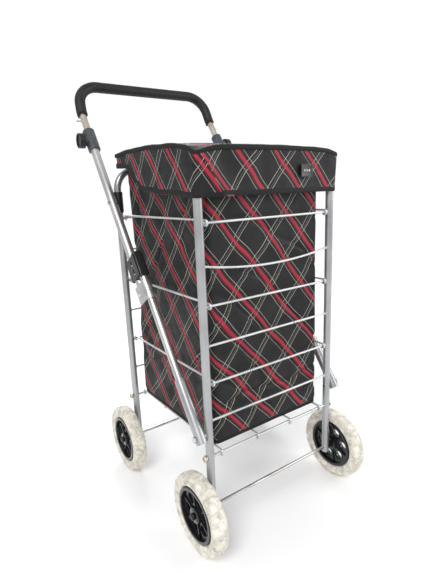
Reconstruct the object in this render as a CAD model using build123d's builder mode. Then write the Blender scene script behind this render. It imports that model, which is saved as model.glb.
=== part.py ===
from build123d import *
import math
import os

# Folding four-wheeled shopping trolley, in millimetres. +Z is up, +X is to the user's side,
# the front of the trolley faces -Y and the handle stands at +Y. The origin is on the floor,
# under the middle of the whole trolley.

# Frame
leg_spacing = 328.0  # between the centres of the left and right legs
frame_depth = 336.0  # between the front and the rear frame
frame_top = 743.0  # centre height of each frame's top bar
leg_bottom = 69.0
leg_radius = 8.0
leg_wall = 1.2
frame_bend = 45.0

# Wires
wire_radius = 2.25
wire_top = 635.0  # height of the uppermost cross wire
wire_pitch = 74.0
wire_count = 6
wire_sag = 15.0  # the second front wire is bowed down
sagging_wire = 2
rod_radius = 3.0
rod_height = 190.0
rod_head_radius = 6.0
rod_head_length = 7.0
hook_turn = 260.0
weld_sink = 1.6  # in wire radii, from the panel's long wires down to its cross wires
link_inset = 14.0  # side wires hook on this far inboard of the legs
panel_wire_places = (-138.0, -46.0, 46.0, 138.0)
panel_cross_places = (110.0, 226.0)

# Wheels
wheel_radius = 81.0
tyre_width = 32.0
hub_radius = 54.0
hub_width = 28.0
hub_gap = 16.0  # from the centre of the leg to the hub's inner face
hub_boss_radius = 13.0
hub_rim = 6.0
hub_web = 7.0
hub_holes = 6
hub_hole_radius = 11.0
axle_radius = 3.5
axle_cap_radius = 7.0
axle_cap_length = 6.0

# Fits and rounded edges
running_clearance = 0.08
part_clearance = 0.5
head_round = 0.6  # share of a head's radius or length
tread_round = 0.36  # share of the tyre's width
rim_round = 0.4  # share of the collar's wall

# Folding brace and handle tubes, side by side in one plane outboard of each leg
brace_gap = 20.5  # from the centre of the leg to the centre of the brace tubes
brace_angle = 56.0  # from the horizontal
brace_height = 239.0  # height of the lower pivot, on the front leg
brace_radius = 8.0
brace_wall = 1.2
socket_radius = 10.5
socket_length = 114.0
socket_overhang = 12.0
knee_reach = 308.0  # from the lower pivot to the knee pin, along the tubes
tube_spread = 24.0  # between the lower tube and the handle tube
tube_overlap = 87.0  # the lower tube runs this far past the knee
handle_tube_radius = 9.5
handle_tube_overhang = 9.0  # below the knee pin
handle_tube_end = 730.0
handle_rod_radius = 8.0
handle_rod_wall = 1.2
handle_rod_start = 600.0
grip_start = 786.0
grip_radius = 12.5
grip_bend = 52.0
rise_reach = 795.0  # the handle turns upright here
rise_angle = 68.0
rise_bend = 60.0
bar_reach = 70.5  # from that turn to the crossbar
bar_inset = 5.0  # the crossbar's ends stand this far inboard of the tubes
pivot_radius = 3.0
pivot_head_radius = 6.0
pin_head_radius = 4.8
pivot_head = 3.0

# Bracket on the rear leg
bracket_height = 671.0  # height of the rivet that joins the handle tube to it
bracket_length = 46.0
bracket_wall = 2.2
bracket_eye = 9.0

# Knee clip and snap catch
clip_length = 40.0
clip_edge = 11.0  # from the knee pin to the edge of the cheeks
cheek_gap = 0.3
sheet = 1.2
catch_reach = 366.0  # the middle of the catch, along the lower tube
catch_length = 48.0
catch_wall = 2.2
slot_length = 14.0
slot_width = 5.0
slot_pitch = 20.0

# Clamp collar
collar_length = 56.0
collar_wall = 4.5
collar_boss_radius = 12.0
collar_boss_reach = 17.0
collar_lip = 7.0  # the part of the collar above the handle tube
knob_radius = 17.0
knob_length = 13.5
knob_ribs = 18
knob_groove = 1.6
knob_dish = 3.0
screw_radius = 3.0
stop_pin_reach = 767.0
stop_pin_length = 12.0
stop_pin_radius = 1.5

# Bag and lid
bag_width = 292.0
bag_front = 9.0
bag_depth = 318.0
bag_bottom = 198.5
bag_wall = 2.0
bag_corner = 14.0
sleeve_wall = 1.6
sleeve_gap = 0.4
sleeve_width = 220.0
lid_width = 349.0
lid_front = -15.0
lid_back = 318.0
lid_top = 769.0
lid_dome = 8.0
lid_wall = 2.0
lid_hem_front = 678.0
lid_hem_back = 703.0
badge_x = 80.0
badge_z = 719.0
badge_width = 30.0
badge_height = 24.0
badge_thickness = 1.6

# Derived places
half_legs = leg_spacing / 2
brace_x = half_legs + brace_gap
along = (math.cos(math.radians(brace_angle)), math.sin(math.radians(brace_angle)))
across = (-along[1], along[0])
rise = (math.cos(math.radians(rise_angle)), math.sin(math.radians(rise_angle)))


def lower_point(reach, offset=0.0):
    """Depth and height of a point on the lower brace tube, or beside it."""
    return (
        along[0] * reach + across[0] * offset,
        brace_height + along[1] * reach + across[1] * offset,
    )


def handle_point(reach):
    """Depth and height of a point on the handle tube."""
    return lower_point(reach, -tube_spread)


turn = handle_point(rise_reach)
bar = (turn[0] + rise[0] * bar_reach, turn[1] + rise[1] * bar_reach)
front_y = -(bar[0] + grip_radius - wheel_radius) / 2  # the origin is under the middle
rear_y = front_y + frame_depth
wheel_x = half_legs + hub_gap + hub_width / 2
wire_heights = [wire_top - wire_pitch * i for i in range(wire_count)]
linked_heights = wire_heights[0::2]
link_x = half_legs - link_inset
bracket_reach = (bracket_height - brace_height + across[1] * tube_spread) / along[1]
handle_tube_start = knee_reach - handle_tube_overhang
sides = (("left", -1), ("right", 1))
os.makedirs("parts", exist_ok=True)


def save(part, name):
    """Label one finished piece and write it."""
    part.label = name
    export_step(part, f"parts/{name}.step")


def place(point, x=0.0):
    """A point given by depth and height, as seen from the front leg, in the trolley's frame."""
    return (x, front_y + point[0], point[1])


def tube_plane(point, x, direction=None):
    """A plane across a tube in a side plane; its own +Y points forwards and up."""
    d = direction or along
    return Plane(origin=place(point, x), x_dir=(-1, 0, 0), z_dir=(0, d[0], d[1]))


def side_plane(x):
    """A plane parallel to the trolley's side, with depth to the right and height up."""
    return Plane(origin=(x, 0, 0), x_dir=(0, 1, 0), z_dir=(1, 0, 0))


# Front and rear frames: one tube each, bent to an inverted U
for frame_name, y in (("front", front_y), ("rear", rear_y)):
    with BuildPart() as frame_tube:
        with BuildLine() as frame_line:
            FilletPolyline(
                (-half_legs, y, leg_bottom),
                (-half_legs, y, frame_top),
                (half_legs, y, frame_top),
                (half_legs, y, leg_bottom),
                radius=frame_bend,
            )
        with BuildSketch(Plane(origin=(-half_legs, y, leg_bottom), z_dir=(0, 0, 1))):
            Circle(leg_radius)
            Circle(leg_radius - leg_wall, mode=Mode.SUBTRACT)
        sweep(path=frame_line.wires()[0])
        with BuildSketch(Plane.YZ):
            with Locations((y, wheel_radius)):
                Circle(axle_radius)
            with Locations((y, rod_height)):
                Circle(rod_radius)
            if frame_name == "front":
                with Locations((y, brace_height)):
                    Circle(pivot_radius)
        extrude(amount=leg_spacing, both=True, mode=Mode.SUBTRACT)
    save(frame_tube.part, f"{frame_name}_frame_tube")

    for index, height in enumerate(wire_heights, start=1):
        sag = wire_sag if (frame_name, index) == ("front", sagging_wire) else 0.0
        with BuildPart() as wire:
            if sag:
                with BuildLine() as wire_line:
                    ThreePointArc(
                        (-half_legs, y, height),
                        (0, y, height - sag),
                        (half_legs, y, height),
                    )
                tangent = wire_line.wires()[0] % 0
                with BuildSketch(Plane(origin=(-half_legs, y, height), z_dir=tangent)):
                    Circle(wire_radius)
                sweep(path=wire_line.wires()[0])
            else:
                with BuildSketch(Plane.YZ):
                    with Locations((y, height)):
                        Circle(wire_radius)
                extrude(amount=half_legs, both=True)
            with Locations((-half_legs, y, height), (half_legs, y, height)):
                Cylinder(leg_radius, 6 * leg_radius, mode=Mode.SUBTRACT)
        save(wire.part, f"{frame_name}_wire_{index}")

    # Bottom rod through both legs, with a head formed on each end
    with BuildPart() as rod:
        with BuildSketch(Plane.YZ):
            with Locations((y, rod_height)):
                Circle(rod_radius)
        extrude(amount=half_legs + leg_radius + rod_head_length / 2, both=True)
        for name, side in sides:
            with BuildSketch(side_plane(side * (half_legs + leg_radius))):
                with Locations((y, rod_height)):
                    Circle(rod_head_radius)
            extrude(amount=side * rod_head_length)
        ends = rod.edges().filter_by(GeomType.CIRCLE).sort_by(Axis.X)
        fillet([ends[0], ends[-1]], radius=rod_head_radius * head_round)
    save(rod.part, f"{frame_name}_bottom_rod")

    # Axle with a push-on cap at each end
    axle_end = half_legs + hub_gap + hub_width + part_clearance
    with BuildPart() as axle:
        with BuildSketch(Plane.YZ):
            with Locations((y, wheel_radius)):
                Circle(axle_radius)
        extrude(amount=axle_end + axle_cap_length / 2, both=True)
    save(axle.part, f"{frame_name}_axle")

    with BuildPart() as axle_caps:
        for name, side in sides:
            with BuildSketch(side_plane(side * axle_end)):
                with Locations((y, wheel_radius)):
                    Circle(axle_cap_radius)
            extrude(amount=side * axle_cap_length)
        outer = axle_caps.edges().filter_by(GeomType.CIRCLE).sort_by(Axis.X)
        fillet([outer[0], outer[-1]], radius=axle_cap_length * head_round)
        with BuildSketch(Plane.YZ):
            with Locations((y, wheel_radius)):
                Circle(axle_radius)
        extrude(amount=axle_end + axle_cap_length / 2, both=True, mode=Mode.SUBTRACT)
        # A collar on the axle keeps each wheel off the leg
        for name, side in sides:
            with BuildSketch(side_plane(side * (half_legs + leg_radius))):
                with Locations((y, wheel_radius)):
                    Circle(axle_cap_radius)
                    Circle(axle_radius, mode=Mode.SUBTRACT)
            extrude(amount=side * (hub_gap - leg_radius - part_clearance))
    save(axle_caps.part, f"{frame_name}_axle_caps")

    # Wheels: a moulded hub with a ring of holes, and a foam tyre round it
    for name, side in sides:
        with BuildPart() as hub:
            with BuildSketch(side_plane(side * wheel_x)):
                with Locations((y, wheel_radius)):
                    Circle(hub_radius)
                    Circle(hub_radius - hub_rim, mode=Mode.SUBTRACT)
                    Circle(hub_boss_radius)
            extrude(amount=hub_width / 2, both=True)
            with BuildSketch(side_plane(side * wheel_x)):
                with Locations((y, wheel_radius)):
                    Circle(hub_radius - hub_rim / 2)
                    with PolarLocations((hub_radius - hub_rim + hub_boss_radius) / 2, hub_holes):
                        Circle(hub_hole_radius, mode=Mode.SUBTRACT)
            extrude(amount=hub_web / 2, both=True)
            with BuildSketch(side_plane(side * wheel_x)):
                with Locations((y, wheel_radius)):
                    Circle(axle_radius + running_clearance)
            extrude(amount=hub_width, both=True, mode=Mode.SUBTRACT)
        save(hub.part, f"{frame_name}_{name}_hub")

        with BuildPart() as tyre:
            with BuildSketch(side_plane(side * wheel_x)):
                with Locations((y, wheel_radius)):
                    Circle(wheel_radius)
                    Circle(hub_radius, mode=Mode.SUBTRACT)
            extrude(amount=tyre_width / 2, both=True)
            tread = tyre.edges().filter_by(GeomType.CIRCLE).sort_by(SortBy.RADIUS)[-2:]
            fillet(tread, radius=tyre_width * tread_round)
        save(tyre.part, f"{frame_name}_{name}_tyre")


def hooked_wire(x, height, round_radius):
    """A wire from the front to the rear frame, hooked round a cross wire at each end."""
    eye = round_radius + wire_radius + running_clearance
    with BuildPart() as link:
        with BuildLine(side_plane(x)) as link_line:
            Line((front_y, height + eye), (rear_y, height + eye))
            JernArc((rear_y, height + eye), (1, 0), eye, -hook_turn)
            JernArc((front_y, height + eye), (-1, 0), eye, hook_turn)
        link_wire = link_line.wires()[0]
        with BuildSketch(Plane(origin=link_wire @ 0, z_dir=link_wire % 0)):
            Circle(wire_radius)
        sweep(path=link_wire)
    return link.part


# Side wires hook round every other cross wire and hold the two frames parallel
for name, side in sides:
    for level, height in zip(("upper", "middle", "lower"), linked_heights):
        save(hooked_wire(side * link_x, height, wire_radius), f"{level}_link_{name}")

# Bottom panel: hooked wires with cross wires welded under them, which carries the bag
panel_height = rod_height + rod_radius + wire_radius + running_clearance
panel_wires = [hooked_wire(x, rod_height, rod_radius) for x in panel_wire_places]
with BuildPart() as bottom_panel:
    add(panel_wires)
    for depth in panel_cross_places:
        with BuildSketch(Plane.YZ):
            with Locations((front_y + depth, panel_height - weld_sink * wire_radius)):
                Circle(wire_radius)
        extrude(amount=panel_wire_places[-1] + wire_radius, both=True)
save(bottom_panel.part, "bottom_panel")


def side_hole(point, radius):
    """Cut a hole from side to side through the part being built."""
    with BuildSketch(Plane.YZ) as section:
        with Locations(place(point)[1:]):
            Circle(radius)
    extrude(section.sketch, amount=2 * brace_x, both=True, mode=Mode.SUBTRACT)


def side_bar(point, radius, start, length):
    """Add a round bar across the trolley to the part being built."""
    with BuildSketch(side_plane(start)) as section:
        with Locations(place(point)[1:]):
            Circle(radius)
    extrude(section.sketch, amount=length)


foot = (0.0, brace_height)
knee = handle_point(knee_reach)
bracket_point = handle_point(bracket_reach)
cheek_inside = handle_tube_radius + cheek_gap
cheek_outside = cheek_inside + sheet

for name, side in sides:
    x = side * brace_x

    # Lower brace tube in its wider socket
    with BuildPart() as socket:
        with BuildSketch(tube_plane(lower_point(-socket_overhang), x)):
            Circle(socket_radius)
            Circle(brace_radius, mode=Mode.SUBTRACT)
        extrude(amount=socket_overhang + socket_length)
        side_hole(foot, pivot_radius + running_clearance)
    save(socket.part, f"brace_socket_{name}")

    with BuildPart() as brace_tube:
        with BuildSketch(tube_plane(lower_point(-socket_overhang), x)):
            Circle(brace_radius)
            Circle(brace_radius - brace_wall, mode=Mode.SUBTRACT)
        extrude(amount=socket_overhang + knee_reach + tube_overlap)
        side_hole(foot, pivot_radius + running_clearance)
    save(brace_tube.part, f"brace_tube_{name}")

    # Knee clip: pressed round the lower tube, its cheeks holding the handle tube's end
    with BuildPart() as knee_clip:
        with BuildSketch(tube_plane(lower_point(knee_reach - clip_length / 2), x)):
            reach = tube_spread + clip_edge
            Circle(cheek_outside)
            Rectangle(2 * cheek_outside, reach, align=(Align.CENTER, Align.MAX))
            Circle(brace_radius, mode=Mode.SUBTRACT)
            with Locations((0, -brace_radius / 2)):
                Rectangle(
                    2 * cheek_inside,
                    reach,
                    align=(Align.CENTER, Align.MAX),
                    mode=Mode.SUBTRACT,
                )
        extrude(amount=clip_length)
        side_hole(knee, pivot_radius)
    save(knee_clip.part, f"knee_clip_{name}")

    # Handle tube, turning on the knee pin
    with BuildPart() as handle_tube:
        with BuildSketch(tube_plane(handle_point(handle_tube_start), x)):
            Circle(handle_tube_radius)
            Circle(handle_rod_radius + running_clearance, mode=Mode.SUBTRACT)
        extrude(amount=handle_tube_end - handle_tube_start)
        side_hole(knee, pivot_radius + running_clearance)
        side_hole(bracket_point, pivot_radius)
    save(handle_tube.part, f"handle_tube_{name}")

    # Catch that slides on the handle tube and closes over the lower tube's end
    with BuildPart() as catch:
        catch_outside = handle_tube_radius + catch_wall
        with BuildSketch(tube_plane(handle_point(catch_reach - catch_length / 2), x)):
            with Locations((0, -catch_outside)):
                Rectangle(
                    2 * catch_outside,
                    catch_outside + tube_spread + brace_radius,
                    align=(Align.CENTER, Align.MIN),
                )
            Rectangle(
                2 * (handle_tube_radius + running_clearance),
                2 * (tube_spread + brace_radius),
                align=(Align.CENTER, Align.MIN),
                mode=Mode.SUBTRACT,
            )
            Circle(handle_tube_radius + running_clearance, mode=Mode.SUBTRACT)
        extrude(amount=catch_length)
        slots = Plane(
            origin=place(lower_point(catch_reach, -tube_spread / 2), x),
            x_dir=(0, along[0], along[1]),
            z_dir=(side, 0, 0),
        )
        with BuildSketch(slots):
            with GridLocations(slot_pitch, 0, 2, 1):
                SlotOverall(slot_length, slot_width)
        extrude(amount=catch_outside + catch_wall, mode=Mode.SUBTRACT)
    save(catch.part, f"catch_{name}")

    # Clamp collar on the handle tube's end, with its boss outboard
    knob_point = handle_point(handle_tube_end + collar_lip - collar_length / 2)
    with BuildPart() as collar:
        collar_start = handle_tube_end + collar_lip - collar_length
        with BuildSketch(tube_plane(handle_point(collar_start), x)):
            Circle(handle_tube_radius + collar_wall)
        extrude(amount=collar_length)
        rims = collar.edges().filter_by(GeomType.CIRCLE)
        fillet(rims, radius=collar_wall * rim_round)
        side_bar(knob_point, collar_boss_radius, x, side * collar_boss_reach)
        with BuildSketch(tube_plane(handle_point(collar_start), x)):
            Circle(handle_tube_radius)
        extrude(amount=collar_length - collar_lip, mode=Mode.SUBTRACT)
        with BuildSketch(tube_plane(handle_point(collar_start), x)):
            Circle(handle_rod_radius + running_clearance)
        extrude(amount=collar_length, mode=Mode.SUBTRACT)
        with BuildSketch(side_plane(x)):
            with Locations(place(knob_point)[1:]):
                Circle(screw_radius + running_clearance)
        extrude(amount=side * collar_boss_reach, mode=Mode.SUBTRACT)
    save(collar.part, f"collar_{name}")

    # Ribbed knob with its screw, which nips the handle rod
    with BuildPart() as knob:
        knob_start = x + side * (collar_boss_reach + part_clearance)
        with BuildSketch(side_plane(knob_start)):
            with Locations(place(knob_point)[1:]):
                Circle(knob_radius)
                with PolarLocations(knob_radius + knob_groove / 3, knob_ribs):
                    Circle(knob_groove, mode=Mode.SUBTRACT)
        extrude(amount=side * knob_length)
        with BuildSketch(side_plane(knob_start + side * knob_length)):
            with Locations(place(knob_point)[1:]):
                Circle(knob_radius - 2 * knob_groove)
        extrude(amount=-side * knob_dish, mode=Mode.SUBTRACT)
        screw_tip = x + side * (handle_tube_radius + part_clearance)
        side_bar(knob_point, screw_radius, screw_tip, knob_start - screw_tip)
    save(knob.part, f"knob_{name}")

    # Moulded bracket clamped on the rear leg, level with the handle tube's rivet
    with BuildPart() as bracket:
        leg_end = frame_depth
        plate_start = side * (half_legs + leg_radius + cheek_gap)
        plate_end = x - side * (handle_tube_radius + cheek_gap)
        with BuildSketch(side_plane(plate_start)):
            with BuildLine():
                Polyline(
                    place((leg_end, bracket_height - bracket_length / 2))[1:],
                    place((leg_end, bracket_height + bracket_length / 2))[1:],
                    place((bracket_point[0], bracket_height + bracket_eye))[1:],
                    place((bracket_point[0] - bracket_eye, bracket_height))[1:],
                    place((bracket_point[0], bracket_height - bracket_eye))[1:],
                    close=True,
                )
            make_face()
        extrude(amount=plate_end - plate_start)
        with BuildSketch(Plane.XY.offset(bracket_height - bracket_length / 2)):
            with Locations((side * half_legs, rear_y)):
                Circle(leg_radius + bracket_wall)
        extrude(amount=bracket_length)
        with BuildSketch(Plane.XY.offset(bracket_height - bracket_length / 2)):
            with Locations((side * half_legs, rear_y)):
                Circle(leg_radius)
        extrude(amount=bracket_length, mode=Mode.SUBTRACT)
    save(bracket.part, f"bracket_{name}")

# Fasteners: bolts at the foot of the brace, pins at the knee, rivets at the bracket
with BuildPart() as brace_bolts:
    for name, side in sides:
        outer = brace_x + socket_radius + part_clearance
        inside = half_legs - leg_radius
        side_bar(foot, pivot_radius, side * inside, side * (outer - inside))
        side_bar(foot, pivot_head_radius, side * outer, side * pivot_head)
save(brace_bolts.part, "brace_bolts")

for group, point, inside, outside in (
    ("knee_pins", knee, cheek_outside, cheek_outside),
    ("bracket_rivets", bracket_point, handle_tube_radius, handle_tube_radius),
):
    with BuildPart() as pins:
        for name, side in sides:
            x = side * brace_x
            side_bar(point, pivot_radius, x - side * inside, side * (inside + outside))
            side_bar(point, pin_head_radius, x + side * outside, side * pivot_head / 2)
    save(pins.part, group)


# Handle: one bent tube that telescopes in both handle tubes, with a foam grip
def handle_path(start):
    """The handle's centre line, from one height on the left leg to the same on the right."""
    left = [place(handle_point(start), -brace_x), place(turn, -brace_x), place(bar, bar_inset - brace_x)]
    right = [(-px, py, pz) for px, py, pz in reversed(left)]
    with BuildLine() as line:
        FilletPolyline(*left, *right, radius=[rise_bend, grip_bend, grip_bend, rise_bend])
    return line.wires()[0]


for piece, start, outer_radius, inner_radius in (
    ("handle_rod", handle_rod_start, handle_rod_radius, handle_rod_radius - handle_rod_wall),
    ("grip", grip_start, grip_radius, handle_rod_radius),
):
    path = handle_path(start)
    with BuildPart() as swept:
        with BuildSketch(tube_plane(handle_point(start), -brace_x)):
            Circle(outer_radius)
            Circle(inner_radius, mode=Mode.SUBTRACT)
        sweep(path=path)
    save(swept.part, piece)

with BuildPart() as stop_pins:
    for name, side in sides:
        start = side * (brace_x + handle_rod_radius)
        side_bar(handle_point(stop_pin_reach), stop_pin_radius, start, side * stop_pin_length)
save(stop_pins.part, "stop_pins")

# Bag: an open box of cloth, hung by a sleeve on the front bar and a flap on the rear bar
bag_top = frame_top
bag_y = front_y + bag_front
with BuildPart() as bag:
    with BuildSketch(Plane.XY.offset(bag_bottom)):
        with Locations((0, bag_y)):
            RectangleRounded(bag_width, bag_depth, bag_corner, align=(Align.CENTER, Align.MIN))
    extrude(amount=bag_top - bag_bottom)
    with BuildSketch(Plane.XY.offset(bag_bottom + bag_wall)):
        with Locations((0, bag_y + bag_wall)):
            RectangleRounded(
                bag_width - 2 * bag_wall,
                bag_depth - 2 * bag_wall,
                bag_corner - bag_wall,
                align=(Align.CENTER, Align.MIN),
            )
    extrude(amount=bag_top - bag_bottom, mode=Mode.SUBTRACT)
    # Each sleeve is joined to the top edge of the nearest panel
    flap_depth = frame_depth - bag_front - bag_depth
    for y, panel_y in ((front_y, bag_y), (rear_y, rear_y - flap_depth - bag_wall)):
        with BuildSketch(Plane.YZ):
            with Locations((y, frame_top)):
                Circle(leg_radius + sleeve_gap + sleeve_wall)
            with Locations((panel_y, frame_top)):
                Rectangle(
                    max(y - panel_y, bag_wall),
                    bag_wall,
                    align=(Align.MIN, Align.MAX),
                )
            with Locations((y, frame_top)):
                Circle(leg_radius + sleeve_gap, mode=Mode.SUBTRACT)
        extrude(amount=sleeve_width / 2, both=True)
save(bag.part, "bag")

# Lid: a shallow cover with a deep skirt at the front and the sides
lid_depth = lid_back - lid_front
with BuildPart() as lid:
    for inset, mode in ((0.0, Mode.ADD), (lid_wall, Mode.SUBTRACT)):
        half = lid_width / 2 - inset
        with BuildSketch(Plane.XZ.offset(-(front_y + lid_front + inset))):
            with BuildLine():
                ThreePointArc(
                    (-half, lid_top - inset),
                    (0, lid_top + lid_dome - inset),
                    (half, lid_top - inset),
                )
                Polyline(
                    (half, lid_top - inset),
                    (half, lid_hem_front),
                    (-half, lid_hem_front),
                    (-half, lid_top - inset),
                )
            make_face()
        extrude(amount=-(lid_depth - 2 * inset), mode=mode)
    with BuildSketch(Plane.YZ):
        with BuildLine():
            Polyline(
                place((lid_front, lid_hem_front))[1:],
                place((lid_back, lid_hem_back))[1:],
                place((lid_back, lid_hem_front))[1:],
                close=True,
            )
        make_face()
    extrude(amount=lid_width, both=True, mode=Mode.SUBTRACT)
    with BuildSketch(Plane.YZ):
        with Locations(place((lid_back, frame_top + lid_wall))[1:]):
            Rectangle(2 * lid_wall, frame_top, align=(Align.CENTER, Align.MAX))
    extrude(amount=lid_width / 2 - lid_wall, both=True, mode=Mode.SUBTRACT)
save(lid.part, "lid")

# Rubber badge sewn on the lid's front
with BuildPart() as badge:
    with BuildSketch(Plane.XZ.offset(-(front_y + lid_front))):
        with Locations((badge_x, badge_z)):
            RectangleRounded(badge_width, badge_height, badge_thickness)
    extrude(amount=badge_thickness)
save(badge.part, "badge")
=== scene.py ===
import math

import bpy
from mathutils import Matrix, Vector, noise


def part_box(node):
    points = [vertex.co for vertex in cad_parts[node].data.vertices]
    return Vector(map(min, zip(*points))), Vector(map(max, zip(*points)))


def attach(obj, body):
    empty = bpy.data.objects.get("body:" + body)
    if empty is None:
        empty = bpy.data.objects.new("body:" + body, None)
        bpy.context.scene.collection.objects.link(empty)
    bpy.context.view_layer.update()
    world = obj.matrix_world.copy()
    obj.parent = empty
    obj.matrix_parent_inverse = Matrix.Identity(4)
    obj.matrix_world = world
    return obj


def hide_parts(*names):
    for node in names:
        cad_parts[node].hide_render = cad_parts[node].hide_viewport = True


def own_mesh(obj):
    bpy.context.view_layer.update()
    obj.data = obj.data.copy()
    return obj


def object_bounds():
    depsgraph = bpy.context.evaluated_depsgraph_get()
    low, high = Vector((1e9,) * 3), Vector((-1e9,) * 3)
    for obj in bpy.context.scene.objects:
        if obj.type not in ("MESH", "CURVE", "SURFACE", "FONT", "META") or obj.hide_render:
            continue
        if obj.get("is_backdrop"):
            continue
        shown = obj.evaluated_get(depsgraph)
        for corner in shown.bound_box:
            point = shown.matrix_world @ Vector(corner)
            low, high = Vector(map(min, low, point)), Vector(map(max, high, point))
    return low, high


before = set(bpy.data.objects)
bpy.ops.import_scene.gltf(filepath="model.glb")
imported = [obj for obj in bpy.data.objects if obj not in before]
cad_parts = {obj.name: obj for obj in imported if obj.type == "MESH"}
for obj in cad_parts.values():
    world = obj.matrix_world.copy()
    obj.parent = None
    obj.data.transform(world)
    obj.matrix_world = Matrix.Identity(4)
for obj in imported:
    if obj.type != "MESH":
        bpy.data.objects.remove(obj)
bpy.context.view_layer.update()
bpy.ops.object.select_all(action="DESELECT")
sides = (("left", -1), ("right", 1))

# Frame tubes and wires: 16 mm steel tube bent to an inverted U, with cross wires welded in
# and hooked side wires. All of it is sprayed silver grey after welding, and the spray
# leaves a slight orange peel and thins out along the tops of the bends.
PAINT = (0.43, 0.44, 0.445, 1)
PAINT_SHADE = (0.33, 0.34, 0.345, 1)
WIRE_PAINT = (0.66, 0.67, 0.67, 1)
WIRE_SHADE = (0.5, 0.51, 0.51, 1)


def add_node(mat, kind, **values):
    """A shader node with its plain settings and the values of its named sockets."""
    made = mat.node_tree.nodes.new(kind)
    for key, value in values.items():
        if key in made.inputs:
            made.inputs[key].default_value = value
        else:
            setattr(made, key, value)
    return made


def join_up(mat, source, target):
    mat.node_tree.links.new(source, target)


def plain_finish(name, roughness, metallic=0.0, **sockets):
    """A new material whose even values sit on the shader's own sockets."""
    mat = bpy.data.materials.new(name)
    mat.use_nodes = True
    shader = mat.node_tree.nodes["Principled BSDF"]
    shader.inputs["Roughness"].default_value = roughness
    shader.inputs["Metallic"].default_value = metallic
    for key, value in sockets.items():
        shader.inputs[key.replace("_", " ")].default_value = value
    return mat, shader


def mottle(mat, shader, low, high, scale, detail=4.0, stretch=(1, 1, 1), spread=(0.35, 0.65)):
    """Colour that drifts between two shades over the surface; returns its noise and place."""
    place = add_node(mat, "ShaderNodeTexCoord")
    turned = add_node(mat, "ShaderNodeMapping", Scale=stretch)
    cloud = add_node(mat, "ShaderNodeTexNoise", Scale=scale, Detail=detail)
    ramp = add_node(mat, "ShaderNodeValToRGB")
    ramp.color_ramp.elements[0].position, ramp.color_ramp.elements[1].position = spread
    ramp.color_ramp.elements[0].color, ramp.color_ramp.elements[1].color = low, high
    join_up(mat, place.outputs["Object"], turned.inputs["Vector"])
    join_up(mat, turned.outputs["Vector"], cloud.inputs["Vector"])
    join_up(mat, cloud.outputs["Fac"], ramp.inputs["Fac"])
    join_up(mat, ramp.outputs["Color"], shader.inputs["Base Color"])
    return cloud, turned


def roughen(mat, shader, height, distance, strength=1.0):
    """A bump from one height output."""
    bump = add_node(mat, "ShaderNodeBump", Strength=strength, Distance=distance)
    join_up(mat, height, bump.inputs["Height"])
    join_up(mat, bump.outputs["Normal"], shader.inputs["Normal"])
    return bump


def vary_gloss(mat, shader, source, low, high):
    """Roughness that follows a noise between two values."""
    span = add_node(mat, "ShaderNodeMapRange")
    span.inputs["From Min"].default_value = 0.3
    span.inputs["From Max"].default_value = 0.7
    span.inputs["To Min"].default_value = low
    span.inputs["To Max"].default_value = high
    join_up(mat, source, span.inputs["Value"])
    join_up(mat, span.outputs["Result"], shader.inputs["Roughness"])


def grain_of(mat, turned, scale, detail=2.0):
    """A finer noise on the same coordinates."""
    fine = add_node(mat, "ShaderNodeTexNoise", Scale=scale, Detail=detail)
    join_up(mat, turned.outputs["Vector"], fine.inputs["Vector"])
    return fine.outputs["Fac"]


def dress(mat, *names):
    """Give CAD nodes one material."""
    for name in names:
        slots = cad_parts[name].data.materials
        slots.clear()
        slots.append(mat)


tube_paint, shader = plain_finish("silver_tube_paint", 0.34, 0.75, Coat_Weight=0.25, Coat_Roughness=0.25)
cloud, turned = mottle(tube_paint, shader, PAINT_SHADE, PAINT, 14.0)
vary_gloss(tube_paint, shader, cloud.outputs["Fac"], 0.28, 0.44)
roughen(tube_paint, shader, grain_of(tube_paint, turned, 900.0), 0.00012, 0.35)
wire_paint, shader = plain_finish("silver_wire_paint", 0.3, 0.6, Coat_Weight=0.3, Coat_Roughness=0.2)
cloud, turned = mottle(wire_paint, shader, WIRE_SHADE, WIRE_PAINT, 22.0)
vary_gloss(wire_paint, shader, cloud.outputs["Fac"], 0.24, 0.42)
roughen(wire_paint, shader, grain_of(wire_paint, turned, 1400.0), 0.0001, 0.3)
dress(tube_paint, "front_frame_tube", "rear_frame_tube")
wire_names = [f"{end}_wire_{index}" for end in ("front", "rear") for index in range(1, 7)]
link_names = [f"{level}_link_{side}" for level in ("upper", "middle", "lower") for side, _ in sides]
dress(wire_paint, "front_bottom_rod", "rear_bottom_rod", "bottom_panel", *wire_names, *link_names)


# Weld beads: each cross wire is welded into the leg at both ends, which leaves a small
# uneven collar of weld round the wire. The paint runs over it. One bead is made and
# copied to every joint of a frame, and the copies are one piece.
BEAD_RING = 0.0029
BEAD_THICK = 0.0011
BEAD_ROUGH = 0.0005


def finish_piece(piece, name, mat, angle=40):
    """Name it, put its place in its mesh, smooth it and give it its material."""
    bpy.ops.object.select_all(action="DESELECT")
    piece.select_set(True)
    bpy.context.view_layer.objects.active = piece
    bpy.ops.object.transform_apply(location=True, rotation=True, scale=True)
    piece.name = piece.data.name = name
    bpy.ops.object.shade_smooth_by_angle(angle=math.radians(angle))
    piece.data.materials.clear()
    piece.data.materials.append(mat)
    bpy.ops.object.select_all(action="DESELECT")
    return piece


def copies_joined(first, moves):
    """Copies of a piece, each with its own mesh, at these places, joined to one piece."""
    made = []
    for move in moves:
        twin = first.copy()
        twin.data = first.data.copy()
        bpy.context.scene.collection.objects.link(twin)
        twin.matrix_world = move
        made.append(twin)
    bpy.data.objects.remove(first)
    bpy.ops.object.select_all(action="DESELECT")
    for twin in made:
        twin.select_set(True)
        bpy.context.view_layer.objects.active = twin
    bpy.context.view_layer.update()
    for twin in made:
        twin.data.transform(twin.matrix_world)
        twin.matrix_world = Matrix.Identity(4)
    bpy.ops.object.join()
    return bpy.context.object


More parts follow.
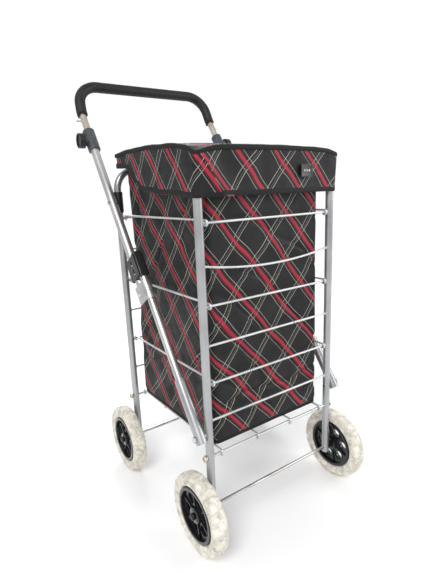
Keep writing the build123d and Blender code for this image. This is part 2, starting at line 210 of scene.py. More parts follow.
for end in ("front", "rear"):
    leg_low, leg_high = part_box(f"{end}_frame_tube")
    leg_y = (leg_low.y + leg_high.y) / 2
    tube_width = leg_high.y - leg_low.y
    bpy.ops.mesh.primitive_torus_add(major_radius=BEAD_RING, minor_radius=BEAD_THICK,
                                     major_segments=20, minor_segments=8)
    bead = bpy.context.object
    for vertex in bead.data.vertices:
        vertex.co *= 1 + BEAD_ROUGH / BEAD_RING * noise.noise(vertex.co * 700)
    places = []
    for index in range(1, 7):
        low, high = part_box(f"{end}_wire_{index}")
        wire_z = high.z - BEAD_RING * 0.8
        for side, sign in sides:
            inner = sign * (leg_high.x - tube_width)
            spin = Matrix.Rotation(math.radians(90), 4, "Y") @ Matrix.Rotation(index + sign, 4, "Z")
            places.append(Matrix.Translation((inner, leg_y, wire_z)) @ spin)
    beads = finish_piece(copies_joined(bead, places), f"{end}_weld_beads", wire_paint, 80)
    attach(beads, f"{end}_frame")


# Rod nuts: the bottom rod of each frame is threaded at its ends, and a brass-coloured
# domed cap nut closes it on the outer side of each leg.
NUT_FLATS = 0.0067
NUT_THICK = 0.0042
DOME_RADIUS = 0.0058
BRASS = (0.62, 0.5, 0.27, 1)
BRASS_SHADE = (0.44, 0.34, 0.17, 1)
brass, shader = plain_finish("passivated_nut", 0.3, 1.0)
cloud, turned = mottle(brass, shader, BRASS_SHADE, BRASS, 180.0)
vary_gloss(brass, shader, cloud.outputs["Fac"], 0.2, 0.42)
for end in ("front", "rear"):
    rod_low, rod_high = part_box(f"{end}_bottom_rod")
    leg_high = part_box(f"{end}_frame_tube")[1]
    rod_centre = (rod_low + rod_high) / 2
    bpy.ops.mesh.primitive_cylinder_add(vertices=6, radius=NUT_FLATS, depth=NUT_THICK,
                                        location=(0, 0, NUT_THICK / 2))
    nut = bpy.context.object
    chamfer = nut.modifiers.new("chamfer", "BEVEL")
    chamfer.width, chamfer.segments = 0.0006, 2
    bpy.ops.object.modifier_apply(modifier="chamfer")
    bpy.ops.mesh.primitive_uv_sphere_add(segments=24, ring_count=12, radius=DOME_RADIUS,
                                         location=(0, 0, NUT_THICK * 0.8))
    dome = bpy.context.object
    dome.scale.z = 0.85
    nut.select_set(True)
    bpy.context.view_layer.objects.active = nut
    bpy.ops.object.join()
    nut = bpy.context.object
    bpy.ops.object.transform_apply(location=True, rotation=True, scale=True)
    places = [
        Matrix.Translation((sign * leg_high.x, rod_centre.y, rod_centre.z))
        @ Matrix.Rotation(math.radians(90 * sign), 4, "Y")
        for side, sign in sides
    ]
    nuts = finish_piece(copies_joined(nut, places), f"{end}_rod_nuts", brass, 35)
    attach(nuts, f"{end}_frame")


# Axles and fasteners: plain zinc-plated rod, and plated bolts, pins and rivets. Drawing and
# tumbling leave fine lines and a patchy shine. The push-on caps are blackened.
ZINC = (0.74, 0.73, 0.7, 1)
ZINC_SHADE = (0.5, 0.49, 0.47, 1)
plated, shader = plain_finish("zinc_plate", 0.22, 1.0)
cloud, turned = mottle(plated, shader, ZINC_SHADE, ZINC, 120.0, stretch=(0.15, 1, 1))
vary_gloss(plated, shader, cloud.outputs["Fac"], 0.14, 0.36)
roughen(plated, shader, grain_of(plated, turned, 1500.0), 0.00005, 0.4)
dress(plated, "front_axle", "rear_axle", "brace_bolts", "knee_pins", "bracket_rivets", "stop_pins")
CAP_BLACK = (0.01, 0.01, 0.011, 1)
CAP_WORN = (0.03, 0.03, 0.031, 1)
blackened, shader = plain_finish("blackened_cap", 0.3, 0.6)
cloud, turned = mottle(blackened, shader, CAP_BLACK, CAP_WORN, 150.0)
vary_gloss(blackened, shader, cloud.outputs["Fac"], 0.2, 0.42)
roughen(blackened, shader, grain_of(blackened, turned, 900.0), 0.0001, 0.4)
dress(blackened, "front_axle_caps", "rear_axle_caps")


# Tyres: rings of cream EVA foam moulded with a skin that creases as it cools, so the tread
# is mottled and covered in shallow wandering wrinkles. Each is stretched over its hub.
FOAM = (0.83, 0.79, 0.7, 1)
FOAM_SHADE = (0.53, 0.49, 0.41, 1)
FOAM_BAND = 0.0158
SHOULDER = 3.0
foam, shader = plain_finish("cream_foam", 0.62, 0.0, Specular_IOR_Level=0.35)
place = add_node(foam, "ShaderNodeTexCoord")
warp = add_node(foam, "ShaderNodeTexNoise", Scale=28.0, Detail=2.0)
warp_add = add_node(foam, "ShaderNodeVectorMath", operation="MULTIPLY_ADD")
warp_add.inputs[1].default_value = (0.05, 0.05, 0.05)
crease = add_node(foam, "ShaderNodeTexVoronoi", Scale=42.0, feature="DISTANCE_TO_EDGE")
patches = add_node(foam, "ShaderNodeTexNoise", Scale=65.0, Detail=6.0, Roughness=0.65)
crease_ramp = add_node(foam, "ShaderNodeValToRGB")
crease_ramp.color_ramp.elements[0].position = 0.0
crease_ramp.color_ramp.elements[1].position = 0.13
patch_ramp = add_node(foam, "ShaderNodeValToRGB")
patch_ramp.color_ramp.elements[0].position, patch_ramp.color_ramp.elements[1].position = 0.36, 0.62
patch_ramp.color_ramp.elements[0].color, patch_ramp.color_ramp.elements[1].color = FOAM_SHADE, FOAM
# The crease ramp multiplies the foam colour down along the wrinkle lines: this is painted shade in the
# wrinkles.
wrinkle_shade = add_node(foam, "ShaderNodeMix", data_type="RGBA", blend_type="MULTIPLY")
wrinkle_shade.inputs["Factor"].default_value = 0.2
join_up(foam, place.outputs["Object"], warp.inputs["Vector"])
join_up(foam, warp.outputs["Color"], warp_add.inputs[0])
join_up(foam, place.outputs["Object"], warp_add.inputs[2])
join_up(foam, warp_add.outputs["Vector"], crease.inputs["Vector"])
join_up(foam, place.outputs["Object"], patches.inputs["Vector"])
join_up(foam, patches.outputs["Fac"], patch_ramp.inputs["Fac"])
join_up(foam, crease.outputs["Distance"], crease_ramp.inputs["Fac"])
join_up(foam, patch_ramp.outputs["Color"], wrinkle_shade.inputs["A"])
join_up(foam, crease_ramp.outputs["Color"], wrinkle_shade.inputs["B"])
join_up(foam, wrinkle_shade.outputs["Result"], shader.inputs["Base Color"])
roughen(foam, shader, crease_ramp.outputs["Color"], 0.0007, 0.55)
WRINKLE_DEEP = 0.0011
WRINKLE_STEEP = 0.0045
DENT_DEEP = 0.0005
SEATED_BELOW = -0.55  # share of the band that sits on the hub and stays smooth


def selected_faces(piece, test):
    """Pick the faces whose centre and normal pass the test, ready for edit mode."""
    bpy.ops.object.mode_set(mode="OBJECT")
    for face in piece.data.polygons:
        face.select = test(face.center, face.normal)
    for edge in piece.data.edges:
        edge.select = False
    for vertex in piece.data.vertices:
        vertex.select = False
    for face in piece.data.polygons:
        if face.select:
            for index in face.vertices:
                piece.data.vertices[index].select = True
    bpy.ops.object.mode_set(mode="EDIT")
    bpy.ops.mesh.select_mode(type="FACE")


tyre_low, tyre_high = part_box("front_left_tyre")
hub_low, hub_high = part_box("front_left_hub")
tyre_radius = (tyre_high.z - tyre_low.z) / 2
tyre_width = tyre_high.x - tyre_low.x
hub_radius = (hub_high.z - hub_low.z) / 2
hub_width = hub_high.x - hub_low.x
for end in ("front", "rear"):
    for side, sign in sides:
        low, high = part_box(f"{end}_{side}_tyre")
        centre = (low + high) / 2
        ring_middle = (tyre_radius + hub_radius) / 2
        bpy.ops.mesh.primitive_torus_add(major_radius=ring_middle, minor_radius=FOAM_BAND,
                                         major_segments=220, minor_segments=44,
                                         location=centre, rotation=(0, math.radians(90), 0))
        tyre = bpy.context.object
        half_band = (tyre_radius - hub_radius) / 2
        for vertex in tyre.data.vertices:
            ring = math.hypot(vertex.co.x, vertex.co.y)
            angle = math.atan2(vertex.co.y, vertex.co.x)
            across, out = vertex.co.z / FOAM_BAND, (ring - ring_middle) / FOAM_BAND
            swell = (abs(across) ** SHOULDER + abs(out) ** SHOULDER) ** (-1 / SHOULDER)
            across, out = across * swell, out * swell
            spot = Vector((math.cos(angle), math.sin(angle), 0)) * 9 + Vector((0, 0, across * 2.4))
            spot += Vector((sign * 3.1, 5.0 if end == "front" else 9.0, out * 2.0))
            dent = noise.noise(spot * 1.6)
            ridge = abs(noise.noise(spot * 1.1 + Vector((7, 1, 3))))
            sink = max(0.0, WRINKLE_DEEP - WRINKLE_STEEP * ridge) + DENT_DEEP * (1 + dent)
            if out < SEATED_BELOW:
                sink = 0.0
            away = 1 - sink / half_band
            out, across = out * away, across * (1 - sink / (tyre_width / 2))
            ring = ring_middle + out * half_band
            vertex.co = (ring * math.cos(angle), ring * math.sin(angle), across * tyre_width / 2)
        finish_piece(tyre, f"{end}_{side}_foam_tyre", foam, 60)
        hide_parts(f"{end}_{side}_tyre")
        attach(tyre, f"{end}_{side}_wheel")


# Hubs: one glossy black moulding each, with a rolled rim, a dished web pierced by six round
# holes, raised rings round the holes, thin ribs between them and a domed boss.
GLOSS_BLACK = (0.006, 0.006, 0.007, 1)
GLOSS_SHADE = (0.012, 0.012, 0.013, 1)
HOLE_RADIUS = 0.0105
HOLE_COUNT = 6
RIM_WALL = 0.006
DISH = 0.0085
BOSS = 0.0135
BOSS_PROUD = 0.0075
BOSS_DRAFT = 0.002
DOME_RIM = 0.003
DOME_PROUD = 0.0008
LIP_THICK = 0.0016
LIP_INSET = 0.0006
LIP_PROUD = 0.0014
RIB_THICK = 0.0018
RIB_PROUD = 0.007
HUB_EDGE = 0.0007
HUB_TURN = {"front": 20, "rear": 47}
gloss_black, shader = plain_finish(
    "gloss_black_moulding", 0.2, 0.0, Coat_Weight=0.35, Coat_Roughness=0.08, Specular_IOR_Level=0.4)
cloud, turned = mottle(gloss_black, shader, GLOSS_BLACK, GLOSS_SHADE, 60.0)
vary_gloss(gloss_black, shader, cloud.outputs["Fac"], 0.1, 0.3)
roughen(gloss_black, shader, grain_of(gloss_black, turned, 160.0), 0.0004, 0.35)
for end in ("front", "rear"):
    for side, sign in sides:
        low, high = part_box(f"{end}_{side}_hub")
        centre = (low + high) / 2
        bpy.ops.mesh.primitive_cylinder_add(vertices=96, radius=hub_radius, depth=hub_width)
        hub = bpy.context.object
        web_radius = hub_radius - RIM_WALL
        for cap in (-1, 1):
            selected_faces(hub, lambda c, n, cap=cap: n.z * cap > 0.9 and c.length < hub_width)
            bpy.ops.mesh.inset(thickness=RIM_WALL)
            bpy.ops.mesh.extrude_region_move(TRANSFORM_OT_translate={"value": (0, 0, -cap * DISH)})
            bpy.ops.mesh.inset(thickness=web_radius - BOSS - BOSS_DRAFT)
            bpy.ops.mesh.extrude_region_move(
                TRANSFORM_OT_translate={"value": (0, 0, cap * BOSS_PROUD)})
            bpy.ops.mesh.inset(thickness=DOME_RIM)
            bpy.ops.mesh.extrude_region_move(
                TRANSFORM_OT_translate={"value": (0, 0, cap * DOME_PROUD)})
        bpy.ops.object.mode_set(mode="OBJECT")
        hole_ring = (web_radius + BOSS) / 2
        web_half = hub_width / 2 - DISH
        parts = []
        for index in range(HOLE_COUNT):
            angle = math.radians(360 / HOLE_COUNT * index)
            spot = (hole_ring * math.cos(angle), hole_ring * math.sin(angle), 0)
            bpy.ops.mesh.primitive_torus_add(
                major_radius=HOLE_RADIUS + LIP_INSET, minor_radius=LIP_THICK,
                major_segments=36, minor_segments=10)
            lip = bpy.context.object
            for vertex in lip.data.vertices:
                vertex.co.z = vertex.co.z * (web_half + LIP_PROUD) / LIP_THICK
            lip.location = spot
            parts.append(lip)
            bpy.ops.mesh.primitive_cylinder_add(
                vertices=36, radius=HOLE_RADIUS, depth=hub_width, location=spot)
            drill = bpy.context.object
            cut = hub.modifiers.new("hole", "BOOLEAN")
            cut.object, cut.operation, cut.solver = drill, "DIFFERENCE", "EXACT"
            bpy.context.view_layer.objects.active = hub
            bpy.ops.object.modifier_apply(modifier="hole")
            bpy.data.objects.remove(drill)
            bpy.ops.mesh.primitive_cube_add(size=1)
            rib = bpy.context.object
            rib_angle = angle + math.radians(180 / HOLE_COUNT)
            rib.scale = (web_radius - BOSS, RIB_THICK, 2 * web_half + RIB_PROUD)
            rib.rotation_euler.z = rib_angle
            rib.location = (hole_ring * math.cos(rib_angle), hole_ring * math.sin(rib_angle), 0)
            parts.append(rib)
        bevel = hub.modifiers.new("edge", "BEVEL")
        bevel.width, bevel.segments, bevel.limit_method = HUB_EDGE, 2, "ANGLE"
        bpy.context.view_layer.objects.active = hub
        bpy.ops.object.modifier_apply(modifier="edge")
        bpy.ops.object.select_all(action="DESELECT")
        for part in parts:
            part.select_set(True)
        hub.select_set(True)
        bpy.context.view_layer.objects.active = hub
        bpy.ops.object.join()
        hub = bpy.context.object
        spin = math.radians(HUB_TURN[end])
        hub.matrix_world = (Matrix.Translation(centre) @ Matrix.Rotation(math.radians(90), 4, "Y")
                            @ Matrix.Rotation(spin, 4, "Z"))
        finish_piece(hub, f"{end}_{side}_spoked_hub", gloss_black, 35)
        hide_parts(f"{end}_{side}_hub")
        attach(hub, f"{end}_{side}_wheel")


# Brace tubes and handle tubes: drawn tube beside the cage, satin aluminium for the handle,
# the same satin finish for the lower brace (painted steel on the real trolley) and paint for its wider
# socket.
# They are scuffed along their length where they slide and fold against each other.
SATIN = (0.63, 0.62, 0.6, 1)
SATIN_SHADE = (0.47, 0.465, 0.45, 1)
satin, shader = plain_finish("satin_drawn_tube", 0.3, 0.9)
cloud, turned = mottle(satin, shader, SATIN_SHADE, SATIN, 30.0, stretch=(1, 0.3, 0.3))
vary_gloss(satin, shader, cloud.outputs["Fac"], 0.26, 0.42)
roughen(satin, shader, grain_of(satin, turned, 1300.0), 0.00008, 0.35)
dress(satin, "handle_tube_left", "handle_tube_right", "brace_tube_left", "brace_tube_right")
dress(tube_paint, "brace_socket_left", "brace_socket_right")
CLIP = (0.55, 0.56, 0.55, 1)
CLIP_SHADE = (0.4, 0.41, 0.4, 1)
clip_metal, shader = plain_finish("folded_clip_sheet", 0.36, 0.9)
cloud, turned = mottle(clip_metal, shader, CLIP_SHADE, CLIP, 90.0)
vary_gloss(clip_metal, shader, cloud.outputs["Fac"], 0.28, 0.5)
roughen(clip_metal, shader, grain_of(clip_metal, turned, 800.0), 0.00012, 0.4)
dress(clip_metal, "knee_clip_left", "knee_clip_right")


# Catches, brackets, collars and knobs: injection mouldings, black for the catches, the
# brackets and the knobs and slate grey for the collars. Their skin has a fine spark grain
# that is polished by hands on the ribs.
MOULDED = (0.008, 0.008, 0.0085, 1)
MOULDED_WORN = (0.022, 0.022, 0.022, 1)
SLATE = (0.035, 0.042, 0.05, 1)
SLATE_WORN = (0.08, 0.09, 0.105, 1)


def moulding(name, colour, worn, roughness):
    """Grained moulding with scuffed patches."""
    mat, shader = plain_finish(name, roughness, 0.0, Coat_Weight=0.15, Coat_Roughness=0.3)
    cloud, turned = mottle(mat, shader, colour, worn, 75.0, 6.0, spread=(0.45, 0.8))
    vary_gloss(mat, shader, cloud.outputs["Fac"], roughness + 0.1, roughness - 0.08)
    roughen(mat, shader, grain_of(mat, turned, 1100.0, 3.0), 0.00018, 0.5)
    return mat


black_moulding = moulding("black_moulding", MOULDED, MOULDED_WORN, 0.38)
slate_moulding = moulding("slate_moulding", SLATE, SLATE_WORN, 0.36)
for kind in ("catch", "bracket", "knob"):
    dress(black_moulding, f"{kind}_left", f"{kind}_right")
dress(slate_moulding, "collar_left", "collar_right")
RIVET_RADIUS = 0.0021
RIVET_PROUD = 0.0012
RIVET_PLACES = (-0.0135, 0.0065)
TUBE_ANGLE = math.radians(56)
slope = Vector((0, math.cos(TUBE_ANGLE), math.sin(TUBE_ANGLE)))
for side, sign in sides:
    low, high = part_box(f"catch_{side}")
    middle = (low + high) / 2
    tube_low, tube_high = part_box(f"handle_tube_{side}")
    face_x = tube_high.x if sign > 0 else tube_low.x
    bpy.ops.mesh.primitive_uv_sphere_add(segments=20, ring_count=10, radius=RIVET_RADIUS)
    rivet = bpy.context.object
    rivet.scale.x = 0.6
    bpy.ops.object.transform_apply(location=False, rotation=False, scale=True)
    places = [
        Matrix.Translation(Vector((face_x + sign * RIVET_PROUD, middle.y, middle.z)) + slope * step)
        for step in RIVET_PLACES
    ]
    rivets = finish_piece(copies_joined(rivet, places), f"catch_rivets_{side}", plated, 60)
    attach(rivets, "handle_base")


# Tube-end caps: a black moulded cap on the upper end of each lower brace tube. It fills the
# catch, which closes round it, so that the catch and the cap look like one black block.
CAP_LENGTH = 0.058
CAP_HALF = 0.0094
CAP_DEPTH = 0.0195
CAP_EDGE = 0.0028
CAP_PROUD = 0.0012
across = Vector((0, -slope.z, slope.y))
cap_turn = Matrix((Vector((1, 0, 0)), across, slope)).transposed().to_4x4()
for side, sign in sides:
    low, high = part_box(f"brace_tube_{side}")
    radius = (high.x - low.x) / 2
    tube_end = Vector(((low.x + high.x) / 2, high.y - radius * slope.z, high.z - radius * slope.y))
    bpy.ops.mesh.primitive_cube_add(size=1)
    cap = bpy.context.object
    cap.scale = (2 * CAP_HALF, CAP_DEPTH, CAP_LENGTH)
    bpy.ops.object.transform_apply(location=False, rotation=False, scale=True)
    edge = cap.modifiers.new("edge", "BEVEL")
    edge.width, edge.segments = CAP_EDGE, 4
    bpy.ops.object.modifier_apply(modifier="edge")
    spot = tube_end + slope * (CAP_PROUD - CAP_LENGTH / 2)
    cap.matrix_world = Matrix.Translation(spot) @ cap_turn
    finish_piece(cap, f"brace_end_cap_{side}", black_moulding, 35)
    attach(cap, "brace")


# Handle rod and grip: the telescoping rod is nickel-bright steel with a warm cast, and the
# grip is a sleeve of black closed-cell foam slipped over its bends. The foam has a skin
# with tiny pores and a soft shine.
NICKEL = (0.7, 0.62, 0.52, 1)
NICKEL_SHADE = (0.45, 0.38, 0.31, 1)
nickel, shader = plain_finish("warm_nickel_rod", 0.2, 1.0)
cloud, turned = mottle(nickel, shader, NICKEL_SHADE, NICKEL, 55.0, stretch=(1, 0.35, 0.35))
vary_gloss(nickel, shader, cloud.outputs["Fac"], 0.12, 0.32)
dress(nickel, "handle_rod")
GRIP_BLACK = (0.006, 0.006, 0.0065, 1)
GRIP_GREY = (0.014, 0.014, 0.015, 1)
grip_foam, shader = plain_finish("black_grip_foam", 0.5, 0.0, Specular_IOR_Level=0.35)
cloud, turned = mottle(grip_foam, shader, GRIP_BLACK, GRIP_GREY, 40.0)
vary_gloss(grip_foam, shader, cloud.outputs["Fac"], 0.42, 0.6)
roughen(grip_foam, shader, grain_of(grip_foam, turned, 420.0, 5.0), 0.0005, 0.5)
dress(grip_foam, "grip")


# Bag: a tall box of coated black polyester with a woven plaid on the bias, sewn from one
# wrapped wall and a base, and hung on the two top bars. It is empty, so the walls belly
# and crease and the lower edge sags between the wires that carry it.
BAG_COLUMNS = 300
BAG_ROWS = 150
CORNER = 0.014
CLOTH_THICK = 0.0011
CLOTH_BLACK = (0.004, 0.004, 0.0044, 1)
CLOTH_GREY = (0.011, 0.011, 0.012, 1)
RED = (0.42, 0.02, 0.045, 1)
DARK_RED = (0.12, 0.005, 0.011, 1)
CREAM = (0.7, 0.66, 0.58, 1)
PLAID_REPEAT = 0.084
RED_SLOPE = 1.13
CREAM_SLOPE = 1.17
WEAVE_DRIFT = 0.022
CREAM_THREADS = ((-0.005, 0.00045, 0.85), (0.005, 0.00045, 0.85), (0.001, 0.0003, 0.3))
BAND_STITCHES = ((-0.0095, 0.0004, 0.75), (0.0105, 0.0004, 0.8))  # middle, half width, weight
CREAM_STITCH = 0.0042
BAND_STITCH = 0.0036
RED_BAND = (0.0006, 0.0031)
RED_NEAR_EDGE = (-0.0042, 0.0008)
RED_FAR_EDGE = (0.0044, 0.0004)
TWILL_PITCH = 0.0022


def plaid(name, red_start, cream_start):
    """Black cloth with red bands one way and dashed cream threads the other way; UV in metres."""
    mat, shader = plain_finish(name, 0.5, 0.0, Specular_IOR_Level=0.26)
    uv = add_node(mat, "ShaderNodeUVMap", uv_map="UVMap")
    drift = add_node(mat, "ShaderNodeTexNoise", Scale=9.0, Detail=1.5)
    centred = add_node(mat, "ShaderNodeVectorMath", operation="SUBTRACT")
    centred.inputs[1].default_value = (0.5, 0.5, 0.5)
    pulled = add_node(mat, "ShaderNodeVectorMath", operation="MULTIPLY_ADD")
    pulled.inputs[1].default_value = (WEAVE_DRIFT, WEAVE_DRIFT, 0)
    split = add_node(mat, "ShaderNodeSeparateXYZ")
    join_up(mat, uv.outputs["UV"], drift.inputs["Vector"])
    join_up(mat, drift.outputs["Color"], centred.inputs[0])
    join_up(mat, centred.outputs["Vector"], pulled.inputs[0])
    join_up(mat, uv.outputs["UV"], pulled.inputs[2])
    join_up(mat, pulled.outputs["Vector"], split.inputs["Vector"])

    def maths(operation, first, second=None, third=None):
        made = add_node(mat, "ShaderNodeMath", operation=operation)
        for index, value in enumerate((first, second, third)):
            if isinstance(value, (int, float)):
                made.inputs[index].default_value = value
            elif value is not None:
                join_up(mat, value, made.inputs[index])
        return made.outputs["Value"]

    def lean(slope, start, way):
        """Distance across the bands, folded into one repeat, from minus half to half of it."""
        run = maths("MULTIPLY_ADD", split.outputs["Y"], way / slope, split.outputs["X"])
        run = maths("ADD", run, start)
        wrapped = maths("WRAP", run, PLAID_REPEAT / 2, -PLAID_REPEAT / 2)
        return maths("MULTIPLY", wrapped, slope / math.hypot(slope, 1))

    def band(distance, middle, half, soft=0.0003):
        off = maths("ABSOLUTE", maths("SUBTRACT", distance, middle))
        span = add_node(mat, "ShaderNodeMapRange", interpolation_type="SMOOTHSTEP")
        span.inputs["From Min"].default_value = half + soft
        span.inputs["From Max"].default_value = half - soft
        join_up(mat, off, span.inputs["Value"])
        return span.outputs["Result"]

    def dashes(way, length):
        """Stitch gaps along a thread."""
        run = maths("MULTIPLY_ADD", split.outputs["X"], -way, split.outputs["Y"])
        return maths("GREATER_THAN", maths("FRACT", maths("MULTIPLY", run, 1 / length)), 0.3)

    def over(base, colour, mask):
        mix = add_node(mat, "ShaderNodeMix", data_type="RGBA")
        join_up(mat, mask, mix.inputs["Factor"])
        join_up(mat, base, mix.inputs["A"])
        mix.inputs["B"].default_value = colour
        return mix.outputs["Result"]

    cloud = add_node(mat, "ShaderNodeTexNoise", Scale=16.0, Detail=4.0)
    join_up(mat, uv.outputs["UV"], cloud.inputs["Vector"])
    ground = add_node(mat, "ShaderNodeMix", data_type="RGBA")
    ground.inputs["A"].default_value, ground.inputs["B"].default_value = CLOTH_BLACK, CLOTH_GREY
    join_up(mat, cloud.outputs["Fac"], ground.inputs["Factor"])
    red_run = lean(RED_SLOPE, red_start, 1)
    cream_run = lean(CREAM_SLOPE, cream_start, -1)
    cream_dash, red_dash = dashes(-1, CREAM_STITCH), dashes(1, BAND_STITCH)
    colour = ground.outputs["Result"]
    for middle, half, weight in CREAM_THREADS:
        thread = maths("MULTIPLY", band(cream_run, middle, half), cream_dash)
        colour = over(colour, CREAM, maths("MULTIPLY", thread, weight))
    for middle, half, weight in BAND_STITCHES:
        thread = maths("MULTIPLY", band(red_run, middle, half), red_dash)
        colour = over(colour, CREAM, maths("MULTIPLY", thread, weight))
    colour = over(colour, DARK_RED, band(red_run, *RED_NEAR_EDGE))
    red_mask = band(red_run, *RED_BAND)
    diagonal = maths("ADD", split.outputs["X"], split.outputs["Y"])
    twill = maths("FRACT", maths("MULTIPLY", diagonal, 1 / TWILL_PITCH))
    lit = maths("MULTIPLY_ADD", maths("ABSOLUTE", maths("SUBTRACT", twill, 0.5)), 0.9, 0.55)
    colour = over(colour, RED, maths("MULTIPLY", red_mask, maths("MINIMUM", lit, 1.0)))
    colour = over(colour, DARK_RED, band(red_run, *RED_FAR_EDGE))
    join_up(mat, colour, shader.inputs["Base Color"])
    weft = add_node(mat, "ShaderNodeTexWave", Scale=480.0, bands_direction="X")
    warp_thread = add_node(mat, "ShaderNodeTexWave", Scale=480.0, bands_direction="Y")
    join_up(mat, uv.outputs["UV"], weft.inputs["Vector"])
    join_up(mat, uv.outputs["UV"], warp_thread.inputs["Vector"])
    crumple = add_node(mat, "ShaderNodeTexNoise", Scale=34.0, Detail=5.0, Roughness=0.55)
    join_up(mat, uv.outputs["UV"], crumple.inputs["Vector"])
    threads = maths("MAXIMUM", weft.outputs["Fac"], warp_thread.outputs["Fac"])
    weave = maths("MULTIPLY_ADD", threads, 0.05, crumple.outputs["Fac"])
    roughen(mat, shader, weave, 0.0022, 0.6)
    vary_gloss(mat, shader, crumple.outputs["Fac"], 0.36, 0.62)
    return mat


def sewn_panel(name, columns, rows, lay, spread, mat, thick=0.0):
    """A cloth panel: a grid laid point by point, with a UV map in metres and its thickness inside."""
    bpy.ops.mesh.primitive_grid_add(x_subdivisions=columns, y_subdivisions=rows, size=1)
    panel = bpy.context.object
    for vertex in panel.data.vertices:
        vertex.co = lay(vertex.co.x + 0.5, vertex.co.y + 0.5)
    layer = panel.data.uv_layers[0].data
    for face in panel.data.polygons:
        middle = sum(layer[index].uv[0] for index in face.loop_indices) / face.loop_total
        for index in face.loop_indices:
            layer[index].uv = spread(layer[index].uv[0], layer[index].uv[1], middle)
    bpy.ops.object.mode_set(mode="EDIT")
    bpy.ops.mesh.select_all(action="SELECT")
    bpy.ops.mesh.remove_doubles(threshold=0.00001)
    bpy.ops.object.mode_set(mode="OBJECT")
    if thick:
        wall = panel.modifiers.new("thickness", "SOLIDIFY")
        wall.thickness, wall.offset = thick, -1
        bpy.ops.object.modifier_apply(modifier="thickness")
    return finish_piece(panel, name, mat, 80)


def round_box(share, half, y_near, y_far, corner):
    """A point and the outward direction on a rounded box, from the middle of its back."""
    straight = (half - corner, y_far - y_near - 2 * corner, 2 * (half - corner))
    bend = math.pi / 2 * corner
    lengths = (straight[0], bend, straight[1], bend, straight[2], bend, straight[1], bend, straight[0])
    run = share * sum(lengths)
    corners = ((-half + corner, y_far - corner), (-half + corner, y_near + corner),
               (half - corner, y_near + corner), (half - corner, y_far - corner))
    starts = ((0, y_far), (-half, y_far - corner), (-half + corner, y_near),
              (half, y_near + corner), (half - corner, y_far))
    ways = ((-1, 0), (0, -1), (1, 0), (0, 1), (-1, 0))
    for index, length in enumerate(lengths):
        if run <= length or index == len(lengths) - 1:
            break
        run -= length
    if index % 2 == 0:
        start, way = starts[index // 2], ways[index // 2]
        return start[0] + way[0] * run, start[1] + way[1] * run, way[1], -way[0], sum(lengths)
    turn = math.radians(90 * (index // 2 + 1)) + run / corner
    middle = corners[index // 2]
    out = (math.cos(turn), math.sin(turn))
    return middle[0] + corner * out[0], middle[1] + corner * out[1], out[0], out[1], sum(lengths)


bag_low, bag_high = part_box("bag")
front_y = sum(c.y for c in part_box("front_wire_1")) / 2
rear_y = sum(c.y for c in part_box("rear_wire_1")) / 2
bar_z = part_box("front_frame_tube")[1].z - 0.008
bag_half = bag_high.x
sleeve_half = 0.11
BAR_TO_WALL = 0.0095
BELLY_DEEP = 0.0035
WAVE_DEEP = 0.0045
CREASE_DEEP = 0.0065
FOOT_TUCK = 0.006
FOLD_UP = 0.083
FOLD_HALF = 0.012
FOLD_DEEP = 0.008
LOW_FOLD_UP = 0.046
LOW_FOLD_HALF = 0.01
LOW_FOLD_DEEP = 0.005
wall_near = front_y + BAR_TO_WALL
wall_far = rear_y - BAR_TO_WALL
bag_base = bag_low.z + 0.002
bag_height = bar_z - bag_base
bag_round = round_box(0, bag_half - 0.001, wall_near, wall_far, CORNER)[4]


def wall_point(share, rise):
    """The bag's wall: it bellies in between its corners and creases, and hangs on its top."""
    x, y, nx, ny = round_box(share % 1.0, bag_half - 0.001, wall_near, wall_far, CORNER)[:4]
    z = bag_base + bag_height * rise
    spot = Vector((x * 9, y * 9, z * 5))
    slack = math.sin(math.pi * min(1, max(0, rise))) ** 0.6
    if abs(ny) > 0.5:
        edge = min(1.0, abs(x) / bag_half)
    else:
        edge = min(1.0, abs(2 * y - wall_near - wall_far) / (wall_far - wall_near))
    belly = (1 - edge ** 2) * slack
    wave = noise.noise(spot) * 0.5 + noise.noise(spot * 2.3 + Vector((3, 1, 4))) * 0.28
    up = z - bag_base
    fold = 1 - min(1.0, abs(up - FOLD_UP - 0.05 * x + 0.006 * math.sin(26 * x)) / FOLD_HALF)
    low_fold = 1 - min(1.0, abs(up - LOW_FOLD_UP + 0.04 * x) / LOW_FOLD_HALF)
    front_only = max(0.0, -ny)
    inward = BELLY_DEEP * belly + WAVE_DEEP * slack * max(0.0, wave + 0.35)
    inward += front_only * slack * (FOLD_DEEP * fold ** 2 + LOW_FOLD_DEEP * low_fold ** 2)
    crease = abs(noise.noise(Vector((x * 6 + 5, y * 6, z * 9 + x * 7 + y * 8))))
    inward += CREASE_DEEP * slack * max(0.0, 1 - crease / 0.1) * (0.4 + 0.6 * (1 - rise))
    inward += FOOT_TUCK * max(0.0, 1 - rise / 0.035) ** 2
    return Vector((x - nx * inward, y - ny * inward, z))


wire_rise = sum(c.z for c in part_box("front_wire_1")) / 2 - bag_base
bag_cloth = plaid("bag_plaid", -bag_round / 2 + 0.1126 - wire_rise / RED_SLOPE,
                  -bag_round / 2 + 0.0679 + 0.0135 / CREAM_SLOPE)
walls = sewn_panel("bag_walls", BAG_COLUMNS, BAG_ROWS, wall_point,
                   lambda u, v, middle: (u * bag_round, v * bag_height), bag_cloth, CLOTH_THICK)


def base_point(share, out):
    """The bag's base, from its middle to the foot of the wall; it droops between its wires."""
    edge = wall_point(share, 0.0)
    middle = Vector((0, (wall_near + wall_far) / 2, edge.z))
    spot = middle.lerp(edge, out)
    spot.z += 0.0012 * (1 - out ** 4) * noise.noise(spot * 22) - 0.0006 * (1 - out ** 3)
    return spot


base = sewn_panel("bag_base_cloth", 120, 24, base_point,
                  lambda u, v, middle: (u * v * 1.1, v * 0.14), bag_cloth)
bpy.context.view_layer.objects.active = base
base_thick = base.modifiers.new("thickness", "SOLIDIFY")
base_thick.thickness, base_thick.offset = CLOTH_THICK, 0
bpy.ops.object.modifier_apply(modifier="thickness")

